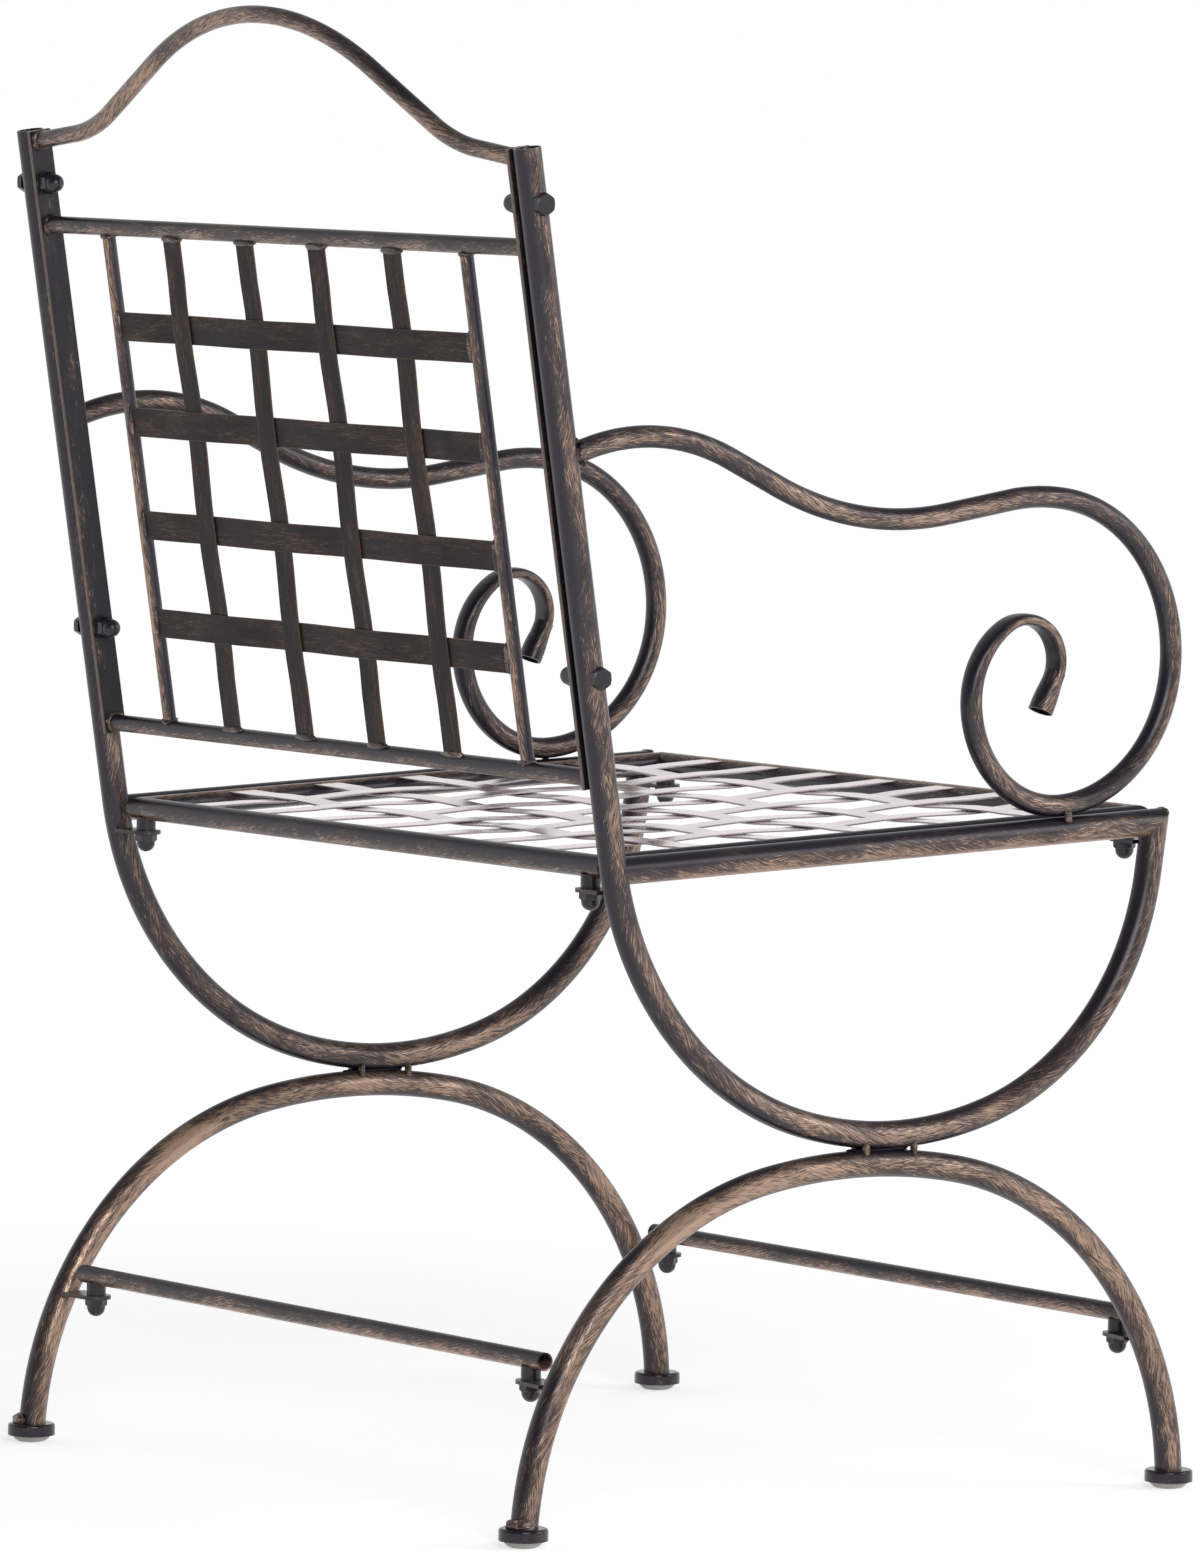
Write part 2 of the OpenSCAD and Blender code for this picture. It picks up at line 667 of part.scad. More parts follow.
seat_long(2);  // seat_long_3
seat_long(3);  // seat_long_4
seat_long(4);  // seat_long_5
seat_long(5);  // seat_long_6
seat_long(6);  // seat_long_7
seat_cross(0);  // seat_cross_1
seat_cross(1);  // seat_cross_2
seat_cross(2);  // seat_cross_3
seat_cross(3);  // seat_cross_4
seat_cross(4);  // seat_cross_5
stretcher(0);  // rear_stretcher
stretcher(1);  // front_stretcher
spacer_bosses();
joint_studs();
joint_cap_nuts();
back_bolts();
back_washers();
back_cap_nuts();
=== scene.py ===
import math

import bpy
from mathutils import Matrix, Vector, noise


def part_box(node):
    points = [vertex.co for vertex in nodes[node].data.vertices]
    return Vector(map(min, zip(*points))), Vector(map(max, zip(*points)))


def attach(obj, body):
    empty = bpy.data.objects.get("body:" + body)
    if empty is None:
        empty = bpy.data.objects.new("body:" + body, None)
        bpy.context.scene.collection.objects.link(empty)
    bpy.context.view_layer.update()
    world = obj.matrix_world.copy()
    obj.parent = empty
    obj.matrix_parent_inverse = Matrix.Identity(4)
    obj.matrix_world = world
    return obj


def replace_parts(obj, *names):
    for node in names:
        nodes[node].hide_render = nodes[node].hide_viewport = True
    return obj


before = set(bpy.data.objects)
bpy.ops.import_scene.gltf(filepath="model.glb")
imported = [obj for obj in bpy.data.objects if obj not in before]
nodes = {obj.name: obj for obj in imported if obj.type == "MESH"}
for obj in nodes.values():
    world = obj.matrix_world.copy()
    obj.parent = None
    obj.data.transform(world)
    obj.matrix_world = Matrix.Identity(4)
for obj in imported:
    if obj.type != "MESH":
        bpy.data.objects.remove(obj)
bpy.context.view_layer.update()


# Brushed finish: satin charcoal coating on steel, wiped over by hand with antique bronze. The
# strokes follow each piece at a slant, so they are drawn in the piece's own "lay" coordinates:
# the distance along the piece and the place in its cross section, in metres.
CHARCOAL = (0.0115, 0.0096, 0.0175, 1.0)
BROWN = (0.055, 0.038, 0.034, 1.0)
GOLD = (0.46, 0.315, 0.235, 1.0)
COATING_TINT = (0.98, 0.92, 1.0, 1.0)
COATING_RELIEF = 0.00012
SLANT = 40.0
COUNTER_SLANT = -14.0
STROKE = (48.0, 1000.0)
HAIR = (120.0, 2300.0)
COUNTER_HAIR = (130.0, 2100.0)
PATCH = (15.0, 70.0)
CHOICE = (30.0, 60.0)
PATCH_SWING, STROKE_SWING, HAIR_SWING = 1.9, 0.9, 2.9
BRUSHED_AND_LIT_GAIN, BRUSHED_AND_LIT_OFFSET = 0.85, -0.42
FLECKS_FROM_LEVEL = 0.8
CHOICE_STEP, FLECK_STEP, WASH_STEP = (0.42, 0.58), (0.66, 1.15), (0.2, 0.9)
COLOUR_A, COLOUR_B, COLOUR_OUT = 6, 7, 2


def socket(tree, name, kind, way, value=None):
    made = tree.interface.new_socket(name=name, in_out=way, socket_type=kind)
    if value is not None:
        made.default_value = value


def add(tree, kind, inputs=(), **settings):
    """A shader node; inputs are (socket, value), where a value may be another node's socket."""
    made = tree.nodes.new(kind)
    for key, value in settings.items():
        setattr(made, key, value)
    for key, value in inputs:
        if isinstance(value, bpy.types.NodeSocket):
            tree.links.new(value, made.inputs[key])
        else:
            made.inputs[key].default_value = value
    return made


def maths(tree, operation, a, b=0.0, c=0.0):
    return add(tree, "ShaderNodeMath", [(0, a), (1, b), (2, c)], operation=operation).outputs[0]


def ramp(tree, value, low, high, to_low=0.0, to_high=1.0):
    """A soft step from to_low, where value is low, to to_high, where it is high."""
    return add(tree, "ShaderNodeMapRange",
               [("Value", value), ("From Min", low), ("From Max", high),
                ("To Min", to_low), ("To Max", to_high)], interpolation_type="SMOOTHSTEP").outputs["Result"]


def mix_colours(tree, factor, first, second):
    return add(tree, "ShaderNodeMix", [("Factor", factor), (COLOUR_A, first), (COLOUR_B, second)],
               data_type="RGBA").outputs[COLOUR_OUT]


def stretched_noise(vector, size, detail, offset=0.0):
    """Noise with size (along, across) in waves per metre."""
    along_piece, across_piece = size
    scaled = add(patina, "ShaderNodeVectorMath",
                 [(0, vector), (1, (along_piece, across_piece, across_piece)), (2, (offset,) * 3)],
                 operation="MULTIPLY_ADD").outputs[0]
    return add(patina, "ShaderNodeTexNoise",
               [("Vector", scaled), ("Scale", 1.0), ("Detail", detail), ("Roughness", 0.6)]).outputs[0]


def turned(rate):
    """The cross section turned more and more along the piece, which slants the strokes."""
    angle = maths(patina, "MULTIPLY", along, rate)
    return add(patina, "ShaderNodeVectorRotate",
               [("Vector", lay), ("Axis", (1.0, 0.0, 0.0)), ("Angle", angle)],
               rotation_type="AXIS_ANGLE").outputs[0]


def swing(value, weight):
    """Noise around 0.5 made into a swing around zero."""
    return maths(patina, "MULTIPLY_ADD", value, weight, -weight / 2)


patina = bpy.data.node_groups.new("patina", "ShaderNodeTree")
socket(patina, "Lay", "NodeSocketVector", "INPUT")
socket(patina, "Brushed and lit", "NodeSocketFloat", "INPUT", 0.5)
socket(patina, "Cover", "NodeSocketFloat", "INPUT", 0.5)
socket(patina, "Slant", "NodeSocketFloat", "INPUT", SLANT)
socket(patina, "Wash", "NodeSocketFloat", "OUTPUT")
socket(patina, "Fleck", "NodeSocketFloat", "OUTPUT")
socket(patina, "Height", "NodeSocketFloat", "OUTPUT")
given = patina.nodes.new("NodeGroupInput")
result = patina.nodes.new("NodeGroupOutput")
lay = given.outputs["Lay"]
along = add(patina, "ShaderNodeSeparateXYZ", [(0, lay)]).outputs[0]
slanted, counter = turned(given.outputs["Slant"]), turned(COUNTER_SLANT)
stroke = stretched_noise(slanted, STROKE, 2.0)
hair = stretched_noise(slanted, HAIR, 2.0, 5.0)
counter_hair = stretched_noise(counter, COUNTER_HAIR, 2.0, 17.0)
patch = stretched_noise(lay, PATCH, 2.0, 11.0)
choice = ramp(patina, stretched_noise(lay, CHOICE, 1.0, 29.0), *CHOICE_STEP)
hairs = add(patina, "ShaderNodeMix", [("Factor", choice), ("A", hair), ("B", counter_hair)],
            data_type="FLOAT").outputs[0]
# The input from each piece raises the bronze; on some pieces it holds a painted light below or to the rear,
# a painted shade on top and painted highlights.
brushed_and_lit_level = maths(patina, "MULTIPLY_ADD", given.outputs["Brushed and lit"], BRUSHED_AND_LIT_GAIN, BRUSHED_AND_LIT_OFFSET)
level = maths(patina, "ADD", swing(patch, PATCH_SWING), swing(stroke, STROKE_SWING))
level = maths(patina, "ADD", level, brushed_and_lit_level)
level = maths(patina, "ADD", level, given.outputs["Cover"])
fleck_level = maths(patina, "MULTIPLY", level, FLECKS_FROM_LEVEL)
fleck = ramp(patina, maths(patina, "ADD", swing(hairs, HAIR_SWING), fleck_level), *FLECK_STEP)
height = maths(patina, "MULTIPLY_ADD", fleck, 0.6, maths(patina, "MULTIPLY", hairs, 0.5))
patina.links.new(ramp(patina, level, *WASH_STEP), result.inputs["Wash"])
patina.links.new(fleck, result.inputs["Fleck"])
patina.links.new(height, result.inputs["Height"])


def finish(name, cover, base=CHARCOAL, wash=BROWN, gold=GOLD, slant=SLANT, roughness=0.29, edge=0.0,
           specular=0.5, bump=0.3, on_lay=True):
    """A coated and brushed metal; cover is how much bronze, edge how strongly edges are worn."""
    material = bpy.data.materials.new(name)
    material.use_nodes = True
    tree = material.node_tree
    brushwork = add(tree, "ShaderNodeGroup", node_tree=patina)
    brushwork.inputs["Cover"].default_value = cover
    brushwork.inputs["Slant"].default_value = slant
    if on_lay:
        vector = add(tree, "ShaderNodeAttribute", attribute_name="lay").outputs["Vector"]
        # This attribute holds how much bronze each point gets, including the painted light, shade and
        # highlights of some pieces.
        brushed_and_lit = add(tree, "ShaderNodeAttribute", attribute_name="brushed_and_lit").outputs["Fac"]
        tree.links.new(brushed_and_lit, brushwork.inputs["Brushed and lit"])
    else:
        vector = add(tree, "ShaderNodeTexCoord").outputs["Object"]
    tree.links.new(vector, brushwork.inputs["Lay"])
    flecks = brushwork.outputs["Fleck"]
    if edge:
        worn = add(tree, "ShaderNodeAttribute", attribute_name="worn").outputs["Fac"]
        uneven = maths(tree, "MULTIPLY_ADD", brushwork.outputs["Height"], 1.3, 0.45)
        rubbed = ramp(tree, maths(tree, "MULTIPLY", worn, uneven), 0.3, 0.9)
        flecks = maths(tree, "MAXIMUM", flecks, maths(tree, "MULTIPLY", rubbed, edge))
    coating = mix_colours(tree, brushwork.outputs["Wash"], base, wash)
    relief = add(tree, "ShaderNodeBump", [("Height", brushwork.outputs["Height"]), ("Strength", bump),
                                          ("Distance", COATING_RELIEF)])
    shader = tree.nodes["Principled BSDF"]
    tree.links.new(mix_colours(tree, flecks, coating, gold), shader.inputs["Base Color"])
    tree.links.new(maths(tree, "MULTIPLY", flecks, 0.5), shader.inputs["Metallic"])
    tree.links.new(relief.outputs[0], shader.inputs["Normal"])
    shader.inputs["Specular IOR Level"].default_value = specular
    shader.inputs["Specular Tint"].default_value = COATING_TINT
    shader.inputs["Roughness"].default_value = roughness
    return material


tube_finish = finish("brushed_tube", 0.42)


# Post tubes: 18 mm tube from the open top of the backrest down the post, round the big bend
# under the arm and up to the mitred front corner. Sizes are in mm. A tube is a sweep of its
# cross section, and a line in a side frame runs in u, forwards from the seat's middle, and z.
MM_PER_METRE = 1000
PART_SHIFT_Y = -0.005694
SHARP_ANGLE = 38
SIDES = ((1, "left"), (-1, "right"))
SIDE_X = 287.5
FRAME_R = 9
TUBE_WALL = 1.2
BACK_LEAN = 9.17
POST_TOP = (-271.86, 887.3)
POST_PATH = [(461.2, 0), (216.4, 64.86), (266.9, 32.68), (189.4, 26.93), (184.1, 38), (30, 0)]
POST_BORE = 40
POST_RUBS = ((800, 240, 0.25),)
CORNER = Vector((0, -242.2, 443.52))
CORNER_SLOPE = math.radians(41.85)
CORNER_REACH = 6.5
corner_cut = (CORNER, Vector((0, math.sin(CORNER_SLOPE), math.cos(CORNER_SLOPE))), CORNER_REACH)


def bend(start, path, step=3.0):
    """Centreline [u, z, heading]; the path has (length, 0) or (bend radius, bend angle)."""
    u, z, heading = start
    line = [(u, z, heading)]
    for size, angle in path:
        count = max(1, round((math.radians(abs(angle)) * size if angle else size) / step))
        part = angle / count
        run = 2 * size * math.sin(math.radians(abs(part)) / 2) if angle else size / count
        for _ in range(count):
            u += run * math.cos(math.radians(heading + part / 2))
            z += run * math.sin(math.radians(heading + part / 2))
            heading += part
            line.append((u, z, heading))
    return line


def side_rings(line, x):
    """Places [centre, a axis, b axis, distance] for a line in the plane of a side frame."""
    rings, distance = [], 0.0
    for k, (u, z, heading) in enumerate(line):
        if k:
            distance += math.dist((u, z), line[k - 1][:2])
        across, ahead = math.sin(math.radians(heading)), math.cos(math.radians(heading))
        rings.append((Vector((x, -u, z)), Vector((0, across, ahead)), Vector((1, 0, 0)), distance))
    return rings


def round_section(radius, count=40):
    """A circle of (a, b, worn) points; a round tube has no worn edges."""
    turns = [2 * math.pi * k / count for k in range(count)]
    return [(radius * math.cos(turn), radius * math.sin(turn), 0.0) for turn in turns]


def both_sides(a, b):
    """The brush went over both flat sides of a side frame and left its edges dark."""
    return 0.5 - 0.5 * a * a + 0.5 * b * b


def bored_end(ring, beside, depth, inner):
    """The inside of an open end, from its floor out to the rim."""
    inward = (beside[0] - ring[0]).normalized() * depth
    return [((ring[0] + inward, *ring[1:]), inner, 0.0), (ring, inner, 1.0)]


def trimmed(point, way, place, normal, reach=None):
    """The point moved along way onto a plane, but no further past its place than reach."""
    point = point + way * ((place - point).dot(normal) / way.dot(normal))
    if reach is not None:
        point = point - way * max(0.0, (point - place).dot(way) - reach)
    return point


def mesh_piece(name, points, faces, lays, worns, brushed_and_lit, material):
    """A piece from points in mm, with where its strokes lie and how worn and brushed it is; on some pieces
    the brushed amount also holds a painted light and shade.
    """
    mesh = bpy.data.meshes.new(name)
    mesh.from_pydata([(p.x / MM_PER_METRE, p.y / MM_PER_METRE + PART_SHIFT_Y, p.z / MM_PER_METRE)
                      for p in points], [], faces)
    lay_values = [value for place in lays for value in place]
    mesh.attributes.new("lay", "FLOAT_VECTOR", "POINT").data.foreach_set("vector", lay_values)
    mesh.attributes.new("worn", "FLOAT", "POINT").data.foreach_set("value", worns)
    mesh.attributes.new("brushed_and_lit", "FLOAT", "POINT").data.foreach_set("value", brushed_and_lit)
    mesh.materials.append(material)
    mesh.shade_smooth()
    mesh.set_sharp_from_angle(angle=math.radians(SHARP_ANGLE))
    mesh.update()
    piece = bpy.data.objects.new(name, mesh)
    bpy.context.collection.objects.link(piece)
    bpy.context.view_layer.update()
    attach(piece, "root")
    return piece


def sweep(name, rings, section, seed, material=tube_finish, shape=None, open_first=0.0, open_last=0.0,
          cut_first=None, cut_last=None, brush_and_light=both_sides, rubs_and_highlights=()):
    """A closed mesh along the rings. The seed, in metres, moves the strokes so that no two pieces
    share them. open_* is how deep an open end is bored, cut_* is the plane that ends the piece,
    and the rubs are places made brighter, as (distance, spread, strength): some are rubbed bright and some
    are a painted highlight. The brush function gives the bronze round the cross section, which on some
    pieces is a painted light and shade."""
    count = len(section)
    size = max(max(abs(a), abs(b)) for a, b, _ in section)
    inner = (size - TUBE_WALL) / size
    stations = [(ring, 1.0, 0.0) for ring in rings]
    if open_first:
        stations = bored_end(rings[0], rings[1], open_first, inner) + stations
    if open_last:
        stations = stations + bored_end(rings[-1], rings[-2], open_last, inner)[::-1]
    points, lays, worns, brushed_and_lit = [], [], [], []
    for (centre, a_axis, b_axis, distance), scale, rim in stations:
        wide, high, power = shape(distance) if shape else (1.0, 1.0, 1.0)
        # Places rubbed bright, and painted highlights, raise the bronze here.
        rubbed = sum(strength * math.exp(-((distance - at) / spread) ** 2) for at, spread, strength in rubs_and_highlights)
        for a, b, worn in section:
            if power < 1:
                a, b = (size * math.copysign(abs(c / size) ** power, c) for c in (a, b))
            points.append(centre + a_axis * (a * scale * high) + b_axis * (b * scale * wide))
            lays.append((distance / MM_PER_METRE + seed, a / MM_PER_METRE, b / MM_PER_METRE))
            worns.append(max(worn, rim))
            brushed_and_lit.append(brush_and_light(a / size, b / size) + rubbed)
    last = len(stations) - 1
    for cut, end, beside in ((cut_first, 0, 1), (cut_last, last, last - 1)):
        if cut:
            way = (stations[end][0][0] - stations[beside][0][0]).normalized()
            for k in range(end * count, end * count + count):
                points[k] = trimmed(points[k], way, *cut)
    faces = [tuple(range(count))[::-1], tuple(range(last * count, last * count + count))]
    for k in range(last):
        for j in range(count):
            after = (j + 1) % count
            faces.append((k * count + j, k * count + after, (k + 1) * count + after, (k + 1) * count + j))
    return mesh_piece(name, points, faces, lays, worns, brushed_and_lit, material)


post_line = bend((*POST_TOP, BACK_LEAN - 90), POST_PATH)
for side, tag in SIDES:
    post = sweep("post_" + tag, side_rings(post_line, side * SIDE_X), round_section(FRAME_R), seed=1 + side,
                 open_first=POST_BORE, cut_last=corner_cut, rubs_and_highlights=POST_RUBS)
    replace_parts(post, "post_tube_" + tag)


# Side rails: straight 18 mm tube from the post forwards to the front corner, where it is
# mitred and welded to the end of the post tube. Bronze below and dark on top: a painted light from below and
# a painted shade on top.
SIDE_RAIL_START = (-196, 427.84, 2.05)
SIDE_RAIL_LENGTH = 430
frame_finish = finish("brushed_frame", 0.66, wash=(0.07, 0.047, 0.038, 1.0), gold=(0.5, 0.335, 0.245, 1.0))


def painted_light_underside(a, b):
    """More bronze on the lower half and none on top: a painted light from below and a painted shade on top.
    """
    return 0.5 - 0.75 * a + 0.1 * abs(b)


side_rail_line = bend(SIDE_RAIL_START, [(SIDE_RAIL_LENGTH, 0)], step=6.0)
for side, tag in SIDES:
    rail = sweep("side_rail_look_" + tag, side_rings(side_rail_line, side * SIDE_X), round_section(FRAME_R),
                 seed=5 + side, material=frame_finish, cut_last=corner_cut, brush_and_light=painted_light_underside)
    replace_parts(rail, "side_rail_" + tag)


# Leg arches: 18 mm tube, one length bent into both legs and welded under the post tube. Its
# ends stand in the foot cups, and the legs are made brighter in places: rubbed bright, and on each rear leg
# a painted highlight.
ARCH_START = (-261.69, 7.5, 86.68)
ARCH_PATH = [(233.5, -76.8), (414.8, -20.55), (225.4, -77)]
# The first place, on the rear leg, is a painted highlight; the other two are rubbed bright.
ARCH_RUBS_AND_HIGHLIGHT = ((223, 30, 0.5), (90, 70, 0.35), (620, 50, 0.3))
LOWEST_RING_Z = 13.5
FOOT_Z = 12.4
foot_cut = (Vector((0, 0, FOOT_Z)), Vector((0, 0, 1)))
arch_line = [place for place in bend(ARCH_START, ARCH_PATH) if place[1] > LOWEST_RING_Z]
for side, tag in SIDES:
    arch = sweep("leg_arch_look_" + tag, side_rings(arch_line, side * SIDE_X), round_section(FRAME_R),
                 seed=9 + side, material=frame_finish, cut_first=foot_cut, cut_last=foot_cut, rubs_and_highlights=ARCH_RUBS_AND_HIGHLIGHT)
    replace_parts(arch, "leg_arch_" + tag)


# Arms: 14.5 mm tube that waves forwards from the post and curls into a scroll. In the tightest
# bend the tube is squeezed flatter and wider, and it ends open and slightly flared.
ARM_R = 7.25
ARM_START = (-240.25, 692.09, 16.58)
ARM_PATH = [(20, 0), (155.6, -42.3), (41.5, 0), (234.8, 34.5), (52, 0), (149.5, -19.2), (105.7, -84.6),
            (95.4, -83.1), (71.2, -89.4), (56.3, -62.1), (27.9, -145.9), (23, 0)]
ARM_BORE = 28
FLAT_BEGINS, FLAT_REACHED, FLAT_ENDS, ROUND_AGAIN = 165, 85, 30, 9
FLARE_BEGINS, FLARE_REACHED = 26, 4
FLAT_WIDER, FLAT_LOWER, FLAT_SQUARER = 0.22, 0.46, 0.3
FLARE_WIDER, FLARE_HIGHER = 0.27, 0.05
arm_line = bend(ARM_START, ARM_PATH, step=2.5)
arm_length = side_rings(arm_line, 0.0)[-1][-1]


def smooth_step(low, high, value):
    t = min(1.0, max(0.0, (value - low) / (high - low)))
    return t * t * (3 - 2 * t)


def squeeze(distance):
    """Width, height and squareness of the tube: flat through the last bend, flared at the end."""
    left = arm_length - distance
    flat = smooth_step(FLAT_BEGINS, FLAT_REACHED, left) * smooth_step(ROUND_AGAIN, FLAT_ENDS, left)
    flare = smooth_step(FLARE_BEGINS, FLARE_REACHED, left)
    width = 1 + FLAT_WIDER * flat + FLARE_WIDER * flare
    height = 1 - FLAT_LOWER * flat + FLARE_HIGHER * flare
    return width, height, 1 - FLAT_SQUARER * flat


for side, tag in SIDES:
    arm = sweep("arm_look_" + tag, side_rings(arm_line, side * SIDE_X), round_section(ARM_R), seed=13 + side,
                shape=squeeze, open_last=ARM_BORE)
    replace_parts(arm, "arm_" + tag)


# Stiles: flat bar 17 x 3 mm, bolted beside each post, with a plain dark coating and edges that
# are a little worn. The backrest is laid out in x, s up its slope from a datum, and n to the rear.
STILE_WIDTH, STILE_THICK = 17, 3
STILE_S = (31.3, 443)
STILE_STEP = 6.86
BACK_DATUM_Z = 450
LEAN = math.radians(BACK_LEAN)
ACROSS = Vector((1, 0, 0))
UP_BACK = Vector((0, math.sin(LEAN), math.cos(LEAN)))
REAR = Vector((0, math.cos(LEAN), -math.sin(LEAN)))
back_datum = Vector((0, -POST_TOP[0] - (POST_TOP[1] - BACK_DATUM_Z) * math.tan(LEAN), BACK_DATUM_Z))
stile_inner_x = SIDE_X - FRAME_R - STILE_THICK
stile_finish = finish("stile_coat", -0.1, base=(0.014, 0.0145, 0.021, 1.0), edge=0.35, slant=20.0,
                      specular=0.35)


def back_point(x, s, n=0.0):
    return back_datum + ACROSS * x + UP_BACK * s + REAR * n


def straight(start, end, a_axis, b_axis, step=6.0):
    """Places for a straight piece from start to end."""
    length = (end - start).length
    count = max(2, round(length / step))
    return [(start.lerp(end, k / count), a_axis, b_axis, length * k / count) for k in range(count + 1)]


def bar_section(thick, width, corner_r=0.3, band=0.7):
    """A flat bar with rounded corners; the corner points are worn, the face points aren't."""
    half_thick, half_width = thick / 2, width / 2
    section = []
    for a_sign, b_sign in ((1, -1), (1, 1), (-1, 1), (-1, -1)):
        corner = [(a_sign * half_thick, b_sign * (half_width - band), 0.0)]
        for turn in (0.0, math.pi / 4, math.pi / 2):
            corner.append((a_sign * (half_thick - corner_r * (1 - math.cos(turn))),
                           b_sign * (half_width - corner_r * (1 - math.sin(turn))), 1.0))
        section += corner[::-1] if a_sign != b_sign else corner
    return section


for side, tag in SIDES:
    stile_x = side * (stile_inner_x + STILE_THICK / 2)
    low, high = (back_point(stile_x, s) for s in STILE_S)
    rings = straight(low, high, ACROSS, REAR, STILE_STEP)
    stile = sweep("stile_look_" + tag, rings, bar_section(STILE_THICK, STILE_WIDTH), seed=17 + side,
                  material=stile_finish)
    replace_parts(stile, "stile_" + tag)


# Crest, top and bottom rails: 11.5 mm tube welded between the stiles. The crest bows up in the
# middle. The crest and the top rail have bronze on the rear face and underside, and the bottom rail on its
# underside, all dark on top: a painted light from below and the rear, and a painted shade on top.
RAIL_R = 5.75
RAIL_SIDES = 32
CREST_MIDDLE = (0, 524.4, 0)
CREST_PATH = [(253.3, -29.56), (71.3, 0), (121.1, 22.79), (80, 0)]
CREST_REACH = 275.4
TOP_RAIL_S, BOTTOM_RAIL_S = 379, 37.8


def painted_light_rear_below(a, b):
    """More bronze on the rear face and the underside, dark on top: a painted light there and a painted shade
    on top.
    """
    return 0.5 - 0.35 * a - 0.4 * b


half_line = [place for place in bend(CREST_MIDDLE, CREST_PATH) if place[0] < CREST_REACH]
crest_line = [(-x, s, -heading) for x, s, heading in half_line[:0:-1]] + half_line
crest_rings, distance = [], 0.0
for k, (x, s, heading) in enumerate(crest_line):
    if k:
        distance += math.dist((x, s), crest_line[k - 1][:2])
    upwards = UP_BACK * math.cos(math.radians(heading)) - ACROSS * math.sin(math.radians(heading))
    crest_rings.append((back_point(x, s), upwards, -REAR, distance))
crest = sweep("crest_look", crest_rings, round_section(RAIL_R, RAIL_SIDES), seed=21, material=frame_finish,
              brush_and_light=painted_light_rear_below)
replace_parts(crest, "crest_rail")
for name, s, seed, brush_and_light in (("top_rail", TOP_RAIL_S, 23, painted_light_rear_below),
                             ("bottom_rail", BOTTOM_RAIL_S, 25, painted_light_underside)):
    rings = straight(back_point(-stile_inner_x, s), back_point(stile_inner_x, s), UP_BACK, -REAR)
    rail = sweep(name + "_look", rings, round_section(RAIL_R, RAIL_SIDES), seed, brush_and_light=brush_and_light)
    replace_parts(rail, name)


# Upright rods: 9 mm round bar welded between the top and bottom rails, one on each side of the
# strap lattice, which is welded to them. Brushed like the frame.
ROD_R = 4.5
ROD_SIDES = 28
ROD_X = 207
LATTICE_S = (40.0, 377.0)
for side, tag in SIDES:
    low, high = (back_point(side * ROD_X, s) for s in LATTICE_S)
    rod = sweep("rod_look_" + tag, straight(low, high, ACROSS, REAR), round_section(ROD_R, ROD_SIDES),
                seed=27 + side, material=frame_finish)
    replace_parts(rod, "rod_" + tag)


# Backrest straps: 19.5 x 1.2 mm strip woven over and under behind the rails and welded at its
# ends, dark bronze with bright worn edges.
STRAP_WIDTH, STRAP_THICK = 19.5, 1.2
WEAVE_LIFT = 0.7
WEAVE_RUN_OUT = 34.0
WEAVE_SQUARENESS = 1.3
BACK_LATTICE_N = 2.75
UPRIGHTS = (127.5, 41.5, -41.5, -127.5)
CROSSINGS = (312.6, 247.9, 177.8, 111.1)
CROSS_HALF_LENGTH = 205.0
UPRIGHT_RINGS, CROSS_RINGS = 116, 138
strap_section = bar_section(STRAP_THICK, STRAP_WIDTH)
strap_finish = finish("brushed_strap", 0.25, base=(0.0125, 0.0102, 0.0135, 1.0),
                      wash=(0.033, 0.0215, 0.0195, 1.0), gold=(0.12, 0.076, 0.053, 1.0), slant=0.0,
                      roughness=0.4, edge=1.0, specular=0.15, bump=0.2)


def weave(t, crossed, side):
    """Height of a strap where it passes over and under the straps at the places crossed."""
    marks = [(crossed[0] - WEAVE_RUN_OUT, -90.0)]
    marks += [(place, 180.0 * k) for k, place in enumerate(crossed)]
    marks += [(crossed[-1] + WEAVE_RUN_OUT, 180.0 * len(crossed) - 90)]
    if t <= marks[0][0] or t >= marks[-1][0]:
        return 0.0
    for (t0, phase0), (t1, phase1) in zip(marks, marks[1:]):
        if t <= t1:
            phase = phase0 + (phase1 - phase0) * (t - t0) / (t1 - t0)
            wave = WEAVE_SQUARENESS * math.cos(math.radians(phase))
            return side * WEAVE_LIFT * max(-1.0, min(1.0, wave))
    return 0.0


def spread(first, last, count):
    return [first + (last - first) * k / (count - 1) for k in range(count)]


def over(k):
    """Every second strap starts over the first strap that it crosses."""
    return 1 if k % 2 == 0 else -1


for k, x in enumerate(UPRIGHTS):
    rings = [(back_point(x, s, BACK_LATTICE_N + weave(s, CROSSINGS[::-1], -over(k))), REAR, ACROSS, s)
             for s in spread(*LATTICE_S, UPRIGHT_RINGS)]
    strap = sweep("back_upright_look_%d" % (k + 1), rings, strap_section, seed=31 + 2 * k,
                  material=strap_finish)
    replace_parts(strap, "back_upright_%d" % (k + 1))
for k, s in enumerate(CROSSINGS):
    rings = [(back_point(x, s, BACK_LATTICE_N + weave(x, UPRIGHTS[::-1], over(k))), REAR, -UP_BACK, x)
             for x in spread(-CROSS_HALF_LENGTH, CROSS_HALF_LENGTH, CROSS_RINGS)]
    strap = sweep("back_cross_look_%d" % (k + 1), rings, strap_section, seed=41 + 2 * k,
                  material=strap_finish)
    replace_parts(strap, "back_cross_%d" % (k + 1))


